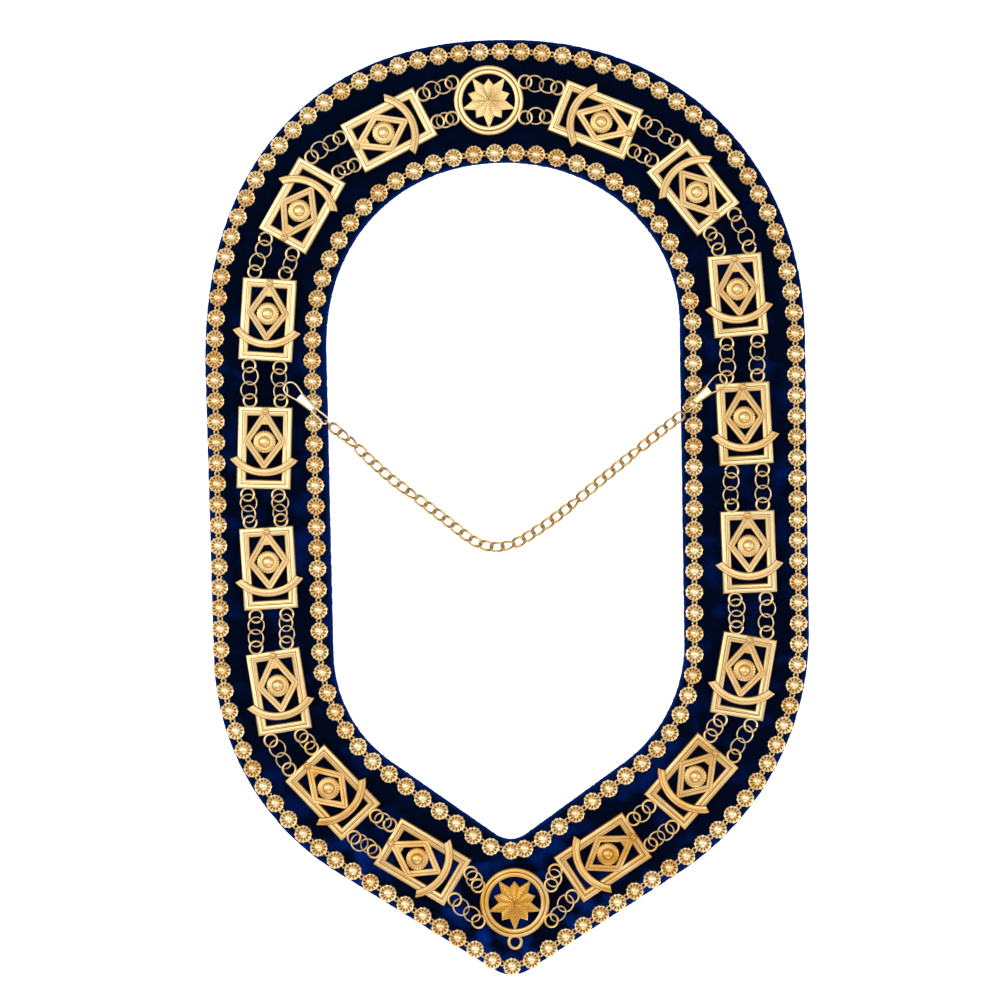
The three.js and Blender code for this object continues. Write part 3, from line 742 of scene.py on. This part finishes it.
def swag():
    """A curved band of two rails, with ribs across it and its ends cut on the slant."""
    half_sweep = 0.96
    bm = spun([(SWAG_RADIUS + across, z) for across, z in SWAG_SECTION], 30, 2 * half_sweep)
    turn = Matrix.Rotation(-math.pi / 2 - half_sweep, 3, "Z")
    bmesh.ops.rotate(bm, cent=(0, 0, 0), matrix=turn, verts=bm.verts)
    for side in (-1, 1):
        mirrored = Vector((side, 1, 0))
        cut = bmesh.ops.bisect_plane(
            bm, geom=bm.verts[:] + bm.edges[:] + bm.faces[:], plane_co=SWAG_TIP * mirrored,
            plane_no=SWAG_END_FACES * mirrored, clear_outer=True)
        rim = [e for e in cut["geom_cut"] if isinstance(e, bmesh.types.BMEdge)]
        bmesh.ops.holes_fill(bm, edges=rim, sides=0)
    mark(bm, 3.9, 4.55, along=lambda at: math.atan2(at.x, -at.y) * SWAG_RADIUS)
    bmesh.ops.translate(bm, vec=(0, SWAG_CENTRE_Y, 0), verts=bm.verts)
    bmesh.ops.recalc_face_normals(bm, faces=bm.faces)
    return bm


# The boss from its middle below, out to its rim, and in over a groove to its middle above.
BOSS_SECTION = [
    (0.01, 1.0), (2.3, 1.0), (2.3, 4.0), (2.0, 4.5), (1.5, 4.6), (1.3, 4.35), (0.9, 4.6),
    (0.5, 4.95), (0.01, 5.05),
]


def head_boss():
    """The small turned boss at the lozenge's head."""
    bm = mark(spun(BOSS_SECTION, 16), 3.9, 4.9)
    bmesh.ops.translate(bm, vec=(0, BOSS_Y, 0), verts=bm.verts)
    return bm


def eyelet(at, heading, gap):
    """A soldered eyelet of round wire; heading is where its joint was left open."""
    bm = wire_ring(EYELET_RADIUS, EYELET_WIRE, EYELET_WIRE, 22, 8, gap)
    mark(bm, -0.75, 0.6)
    place = Matrix.Translation((at.x, at.y, EYELET_Z)) @ Matrix.Rotation(heading, 4, "Z")
    bmesh.ops.transform(bm, matrix=place, verts=bm.verts)
    return bm


def plaque_eyelets():
    reach = FRAME_LONG / 2 + EYELET_OUT
    return [Vector((x * EYELET_X, y * reach)) for x, y in ((1, 1), (-1, 1), (-1, -1), (1, -1))]


def medallion_eyelets():
    reach = MEDAL_OUTER + EYELET_OUT
    across, up = reach * math.cos(MEDAL_EYELET_ANGLE), reach * math.sin(MEDAL_EYELET_ANGLE)
    return [Vector((x * across, y * up)) for x in (1, -1) for y in (1, -1)]


# Where the castings start to come out yellower and darker towards the front, and how far that takes.
YELLOWING_Y, YELLOWING_FADE = -70, 130
# Joints of eyelets left open, in radians round the ring.
EYELET_GAPS = (0.06, 0.1, 0.22)


def yellowness(x, y):
    """How yellow and dark a casting comes out: more so towards the front and on the right."""
    front = clamped((YELLOWING_Y - y) / YELLOWING_FADE)
    return 0.2 + 0.75 * front + 0.2 * (x > 0)


def make_plaque(name, place, frame_mesh, emblem_mesh, draw):
    x, y, heading = place
    rings = [eyelet(at, math.atan2(at.y, at.x) + draw.uniform(-1.6, 1.6), draw.choice(EYELET_GAPS))
             for at in plaque_eyelets()]
    bm = bmesh.new()
    where = turned(heading, (x, y, PLAQUE_FOOT))
    # The emblem and the soldered eyelets have come out yellower than the frame.
    tint = yellowness(x, y) + draw.uniform(-0.1, 0.2)
    lay(bm, frame_mesh, where, tint)
    lay(bm, emblem_mesh, where, tint + 0.3)
    lay(bm, as_mesh(joined(*rings)), where, tint + 0.2)
    finish_piece(name, bm, cast_gilt, crease=38)


# ---- medallions ----

# The rim's section, as (radius, height): two rails with a channel between them.
MEDAL_SECTION = [
    (15.9, 0), (15.9, 2.4), (16.15, 3.0), (16.7, 3.3), (17.6, 3.35), (18.3, 3.15), (18.55, 2.7),
    (18.75, 2.7), (19.0, 3.15), (19.5, 3.4), (20.4, 3.35), (21.0, 2.95), (21.3, 2.3), (21.3, 0),
]
STAR_LONG, STAR_SHORT, STAR_VALLEY = 17.0, 13.2, 9.8
STAR_TIP_Z, STAR_VALLEY_Z, STAR_PEAK_Z, STAR_FOOT_Z = 2.3, 1.7, 4.4, 0.6
PLEAT_WIDE, PLEAT_DEEP = 0.55, 0.35
PLEATS = 19
# How bright the bottoms and the crests of the pleats are painted: painted shade and painted highlight.
PLEAT_PAINTED_LIGHT = (0.28, 1.1)


def pleated_facet(middle, a, b):
    """A triangle of the star, with pleats that follow its outer side from a to b."""
    facet = bmesh.new()
    facet.faces.new([facet.verts.new(p) for p in (middle, a, b)])
    side = (b - a).normalized()
    inward = Vector((-side.y, side.x, 0)).normalized()
    for k in range(1, PLEATS + 1):
        cut = bmesh.ops.bisect_plane(
            facet, geom=facet.verts[:] + facet.edges[:] + facet.faces[:],
            plane_co=a + inward * PLEAT_WIDE * k, plane_no=inward)
        if k % 2:
            for part in cut["geom_cut"]:
                if isinstance(part, bmesh.types.BMVert):
                    part.co.z -= PLEAT_DEEP
    lift = facet.verts.layers.float.new("lift")
    for vert in facet.verts:
        away = round((vert.co - a).dot(inward) / PLEAT_WIDE)
        # Painted shade in the pleats' bottoms and painted highlight on their crests.
        vert[lift] = PLEAT_PAINTED_LIGHT[(away + 1) % 2]
    return facet


def star():
    """Ten points, long and short in turn, each ridged and pleated."""
    ring = []
    for i in range(20):
        reach = STAR_VALLEY if i % 2 else STAR_LONG if i % 4 else STAR_SHORT
        angle = math.pi / 2 + i * math.pi / 10
        height = STAR_VALLEY_Z if i % 2 else STAR_TIP_Z
        ring.append(Vector((reach * math.cos(angle), reach * math.sin(angle), height)))
    middle = Vector((0, 0, STAR_PEAK_Z))
    bm = joined(*(pleated_facet(middle, ring[i], ring[(i + 1) % 20]) for i in range(20)))
    bmesh.ops.remove_doubles(bm, verts=bm.verts, dist=0.02)
    walls = bmesh.ops.extrude_edge_only(bm, edges=[e for e in bm.edges if e.is_boundary])["geom"]
    for part in walls:
        if isinstance(part, bmesh.types.BMVert):
            part.co.z = STAR_FOOT_Z
    bmesh.ops.holes_fill(bm, edges=bm.edges, sides=0)
    bmesh.ops.recalc_face_normals(bm, faces=bm.faces)
    return bm


def jewel_ring():
    """The ring of stout wire from which a jewel hangs."""
    bm = mark(wire_ring(JEWEL_RING_RADIUS, JEWEL_RING_WIRE, JEWEL_RING_WIRE, 28, 10), -1.1, 1.0)
    bmesh.ops.translate(bm, vec=(0, JEWEL_RING_Y, JEWEL_RING_Z), verts=bm.verts)
    return bm


def make_medallion(name, place, with_jewel_ring, draw):
    x, y, heading = place
    parts = [mark(spun(MEDAL_SECTION, 72), 2.55, 3.3)]
    for at in medallion_eyelets():
        parts.append(eyelet(at, math.atan2(at.y, at.x) + draw.uniform(-1.4, 1.4), EYELET_GAPS[1]))
    if with_jewel_ring:
        parts.append(jewel_ring())
    bm = bmesh.new()
    where = turned(heading, (x, y, PLAQUE_FOOT))
    tint = yellowness(x, y) + 0.3
    lay(bm, as_mesh(joined(*parts)), where, tint)
    lay(bm, as_mesh(star()), where, 1.2 * tint)
    finish_piece(name, bm, cast_gilt, crease=38)


# ---- strings of loose rings ----


def loop_order():
    """Plaques and medallions as they follow each other, from the back down the left side."""
    left, right = ([dict(name=f"plaque_{side}_{i + 1}", place=place, round=False)
                    for i, place in enumerate(places)]
                   for side, places in (("left", LEFT_PLACES), ("right", RIGHT_PLACES)))
    back = dict(name="back_medallion", place=BACK_MEDALLION, round=True)
    front = dict(name="front_medallion", place=FRONT_MEDALLION, round=True)
    return [back, *left, front, *reversed(right)]


def facing_eyelets(piece, neighbour):
    """The two eyelets of a piece that face its neighbour, the outer one first."""
    local = medallion_eyelets() if piece["round"] else plaque_eyelets()
    x, y, heading = piece["place"]
    where = turned(heading, (x, y, 0))
    placed = [(where @ p.to_3d()).to_2d() for p in local]
    towards = Vector(neighbour["place"][:2])
    nearest = sorted(placed, key=lambda p: (p - towards).length)[:2]
    return sorted(nearest, key=lambda p: -(p - NECK_MIDDLE).length)


def make_string(name, start, end, count, draw):
    """Loose rings between two eyelets, each tilted the other way from the last so that they link."""
    in_eyelet = EYELET_HOLE + FRAME_RING_RADIUS - FRAME_RING_WIRE
    in_ring = 2 * FRAME_RING_RADIUS - FRAME_RING_WIRE
    drawn = 2 * in_eyelet + (count - 1) * in_ring
    line = end - start
    heading = math.atan2(line.y, line.x)
    lean = draw.choice((-1, 1))
    bm = bmesh.new()
    aside = Vector((-line.y, line.x)).normalized()
    for i in range(count):
        at = start + line * (in_eyelet + i * in_ring) / drawn
        at = at + aside * draw.uniform(-RING_ASIDE, RING_ASIDE)
        ring = wire_ring(LOOSE_RING_RADIUS, LOOSE_RING_WIRE, LOOSE_RING_WIRE, 32, 8, RING_GAP)
        place = (Matrix.Translation((at.x, at.y, STRING_Z)) @ Matrix.Rotation(heading, 4, "Z")
                 @ Matrix.Rotation(lean * draw.uniform(*RING_TILTS), 4, "X")
                 @ Matrix.Rotation(draw.uniform(0.7, 2.4) * draw.choice((-1, 1)), 4, "Z"))
        lay(bm, as_mesh(mark(ring, -0.8, 0.6)), place, draw.random() * 0.6)
        lean = -lean
    finish_piece(name, bm, drawn_gilt_wire, crease=60)


def make_chain_of_plaques():
    draw = random.Random(31)
    frame_mesh = as_mesh(plaque_frame())
    emblem_mesh = as_mesh(joined(lozenge(), sun(), swag(), head_boss()))
    pieces = loop_order()
    for piece in pieces:
        name = piece["name"] + "_piece"
        if piece["round"]:
            make_medallion(name, piece["place"], piece["name"] == "front_medallion", draw)
        else:
            make_plaque(name, piece["place"], frame_mesh, emblem_mesh, draw)
    for i, piece in enumerate(pieces):
        after = pieces[(i + 1) % len(pieces)]
        here, there = facing_eyelets(piece, after), facing_eyelets(after, piece)
        make_string(f"outer_rings_{i + 1:02d}_piece", here[0], there[0], 2, draw)
        make_string(f"inner_rings_{i + 1:02d}_piece", here[1], there[1],
                    2 if i in LONG_INNER_STRINGS else 1, draw)


# ---- shoulder chain ----


def smooth_route(points, steps):
    """A smooth line through points, with a number of steps from each to the next."""
    knots = [Vector(p) for p in points]
    knots = [2 * knots[0] - knots[1], *knots, 2 * knots[-1] - knots[-2]]
    line = []
    for a, b, c, d in zip(knots, knots[1:], knots[2:], knots[3:]):
        for i in range(steps):
            t = i / steps
            line.append(0.5 * (2 * b + (c - a) * t + (2 * a - 5 * b + 4 * c - d) * t ** 2
                               + (3 * b - a - 3 * c + d) * t ** 3))
    return line + [knots[-2]]


LINK_STEPS = 28
# The oval's power, where less than 1 makes it fuller, and how far its wire rises with the twist.
LINK_FULLNESS, LINK_TWIST = 0.86, 0.95
# Links are browner towards their ends, where each lies over the next: how much, from which share of a
# link's half length, and over how much of it the brown grows.
BROWN, BROWN_FROM, BROWN_FADE = 0.5, 0.62, 0.25
# Degrees that a link is rolled over: about one in five lies on its edge.
LINK_ROLLS = (0, 0, 0, 0, 42)


def curb_link():
    """One link: an oval of wire twisted so that its ends lean, which lets flat links lock."""
    long, wide = (LINK_LONG - LINK_WIRE) / 2, (LINK_WIDE - LINK_WIRE) / 2
    points = []
    for i in range(LINK_STEPS):
        angle = 2 * math.pi * i / LINK_STEPS
        cos, sin = math.cos(angle), math.sin(angle)
        points.append((long * math.copysign(abs(cos) ** LINK_FULLNESS, cos),
                       wide * math.copysign(abs(sin) ** LINK_FULLNESS, sin),
                       LINK_TWIST * math.sin(2 * angle)))
    bm = mark(drawn_wire(points, LINK_WIRE, True, 1), -1.5, 1.0)
    lift = bm.verts.layers.float["lift"]
    for vert in bm.verts:
        vert[lift] *= 1 - BROWN * clamped((abs(vert.co.x) / long - BROWN_FROM) / BROWN_FADE)
    return bm


def end_ring(last, before):
    """The upright ring past the end of the chain, and its place in line with the last two links."""
    step = last - before
    step.z = 0
    at = last + step.normalized() * END_RING_OUT
    at.z = END_RING_Z
    place = (Matrix.Translation(at) @ Matrix.Rotation(math.atan2(step.y, step.x), 4, "Z")
             @ Matrix.Rotation(math.pi / 2, 4, "X"))
    return mark(wire_ring(END_RING_RADIUS, END_RING_WIRE, END_RING_WIRE, 20, 8, 0.08), -0.4, 0.4), place


def make_shoulder_chain():
    """Flat curb links along the chain's route, some of them rolled over."""
    route = smooth_route(CHAIN_ROUTE, 12)
    length = sum((b - a).length for a, b in zip(route, route[1:]))
    count = round(length / CHAIN_PITCH)
    places = evenly(route, count) + [route[-1]]
    link_mesh = as_mesh(curb_link())
    bm = bmesh.new()
    draw = random.Random(7)
    for i, at in enumerate(places):
        along = (places[min(i + 1, count)] - places[max(i - 1, 0)]).normalized()
        across = Vector((0, 0, 1)).cross(along).normalized()
        frame_of_link = Matrix((along, across, along.cross(across))).transposed().to_4x4()
        roll = math.radians(draw.uniform(-12, 12) + draw.choice(LINK_ROLLS))
        # A rolled link is raised so that its lower side still rests on the table.
        raised = (LINK_WIDE - LINK_WIRE) / 2 * math.sin(abs(roll))
        place = Matrix.Translation(at + Vector((0, 0, raised))) @ frame_of_link
        lay(bm, link_mesh, place @ Matrix.Rotation(roll, 4, "X"), draw.random() * 0.7)
    for last, before in ((places[0], places[1]), (places[-1], places[-2])):
        ring, place = end_ring(last, before)
        lay(bm, as_mesh(ring), place, 0.2)
    finish_piece("shoulder_chain_piece", bm, curb_gilt, crease=60)


# ---- clasps ----

# Half of the loop and of the bow, from the clasp's body outwards: (share of its length, half its
# width there).
LOOP_HALF = [(0.28, 3.44), (0.55, 4.0), (0.77, 3.76), (0.92, 2.64), (0.99, 1.2)]
BOW_HALF = [(0.3, 1.65), (0.68, 2.05), (0.9, 2.0), (0.985, 1.3)]
CRIMPS = 8


def clasp_half(down):
    """Half the body's width, a share of the way from its narrow end to its wide one."""
    return CLASP_NARROW_HALF + (CLASP_WIDE_HALF - CLASP_NARROW_HALF) * down


def clasp_body():
    """Sheet folded over the wires: wide at the loop, narrow at the bow, and a little arched."""
    bm = bmesh.new()
    bmesh.ops.create_grid(bm, x_segments=10, y_segments=10, size=1)
    for vert in bm.verts:
        down = (vert.co.x + 1) / 2
        rounded = 0.55 * math.sqrt(1 - 0.95 * abs(vert.co.y) ** 5)
        vert.co = (CLASP_LONG * down, clasp_half(down) * vert.co.y, rounded + 0.25)
    bmesh.ops.solidify(bm, geom=bm.faces[:], thickness=0.5)
    bmesh.ops.recalc_face_normals(bm, faces=bm.faces)
    return mark(bm, -0.3, 0.75)


def crimps():
    """Small bites pressed down over the wire along one edge of the sheet."""
    parts = []
    for i in range(CRIMPS):
        down = (i + 0.7) / CRIMPS
        place = Matrix.Translation((CLASP_LONG * down - 0.4, clasp_half(down) - 0.3, 0.55))
        bm = bmesh.new()
        bmesh.ops.create_uvsphere(bm, u_segments=8, v_segments=5, radius=1,
                                  matrix=place @ Matrix.Diagonal((0.42, 0.8, 0.42, 1)))
        parts.append(mark(bm, 0.6, 1.1))
    return joined(*parts)


def clasp_wire(root, base, reach, half):
    """Spring wire from its root in the body, out on one side and back on the other."""
    out = [root] + [(base + reach * share, aside) for share, aside in half]
    line = out + [(x, -y) for x, y in reversed(out)]
    fine = smooth_route([(x, y, 0.05) for x, y in line], 4)
    return mark(drawn_wire(fine, CLASP_WIRE, False, 2), -0.6, 0.45)


def clasp(loop_long, bow_long):
    """A wire snap: its narrow end is at the origin and its loop along +X."""
    loop = clasp_wire((CLASP_LONG - 1.2, 2.3), CLASP_LONG, loop_long, LOOP_HALF)
    bow = clasp_wire((1.4, 1.1), 0, -bow_long, BOW_HALF)
    return joined(clasp_body(), crimps(), loop, bow)


def make_clasp(side):
    spot = CLASP_PLACES[side]
    place = (turned(spot["heading"], spot["at"]) @ Matrix.Rotation(CLASP_PITCH, 4, "Y")
             @ Matrix.Rotation(math.radians(spot["roll"]), 4, "X"))
    bm = bmesh.new()
    lay(bm, as_mesh(clasp(spot["loop_long"], spot["bow_long"])), place, spot["tint"])
    finish_piece(f"{side}_clasp_piece", bm, polished_gilt, crease=50)


# ---- floor and light, in metres ----

TABLE_HALF, TABLE_Z = 6, -0.0006


def make_floor():
    """A plain white table that gives off soft light of its own, so that no shadow on it is hard."""
    bm = bmesh.new()
    bmesh.ops.create_grid(bm, x_segments=1, y_segments=1, size=TABLE_HALF,
                          matrix=Matrix.Translation((0, 0, TABLE_Z)))
    floor = bpy.data.objects.new("white_table", as_mesh(bm, "white_table"))
    material, tree = blank_material("lit_white_table")
    matt = add_node(tree, "ShaderNodeBsdfPrincipled", {
        "Base Color": linear("#F4F4F4"), "Roughness": 0.9,
        "Emission Color": linear("#FFFFFF"), "Emission Strength": 0.75})
    finish_material(tree, matt)
    floor.data.materials.append(material)
    bpy.context.collection.objects.link(floor)


def soft_box(name, at, size, power):
    """A white soft box that points at the middle of the collar."""
    light = bpy.data.lights.new(name, "AREA")
    light.shape = "RECTANGLE"
    light.size, light.size_y = size
    light.energy = power
    holder = bpy.data.objects.new(name, light)
    holder.location = at
    holder.rotation_euler = (-Vector(at)).to_track_quat("-Z", "Y").to_euler()
    bpy.context.collection.objects.link(holder)


def light_room():
    """Warm light from all round, and four soft boxes."""
    world = bpy.data.worlds.new("studio")
    world.use_nodes = True
    world.node_tree.nodes.clear()
    tree = world.node_tree
    glow = add_node(tree, "ShaderNodeBackground", {"Color": linear("#E6DDD0"), "Strength": 0.72})
    add_node(tree, "ShaderNodeOutputWorld", {"Surface": glow.outputs[0]})
    bpy.context.scene.world = world
    soft_box("overhead", (-0.3, 0.5, 2.6), (1.6, 1.2), 20)
    soft_box("left", (-1.8, 0.3, 1.2), (0.9, 1.6), 15)
    soft_box("right", (1.8, -0.2, 1.1), (0.7, 1.4), 10)
    soft_box("front", (0.2, -1.9, 1.0), (1.4, 0.6), 8)
    bpy.context.scene.view_settings.view_transform = "Standard"


make_velvet()
make_trim("outer_rosette_trim_piece", OUTER_TRIM, 0, 11)
make_trim("inner_rosette_trim_piece", INNER_TRIM, INNER_TRIM_LAP, 12)
make_chain_of_plaques()
make_shoulder_chain()
make_clasp("left")
make_clasp("right")
make_floor()
light_room()
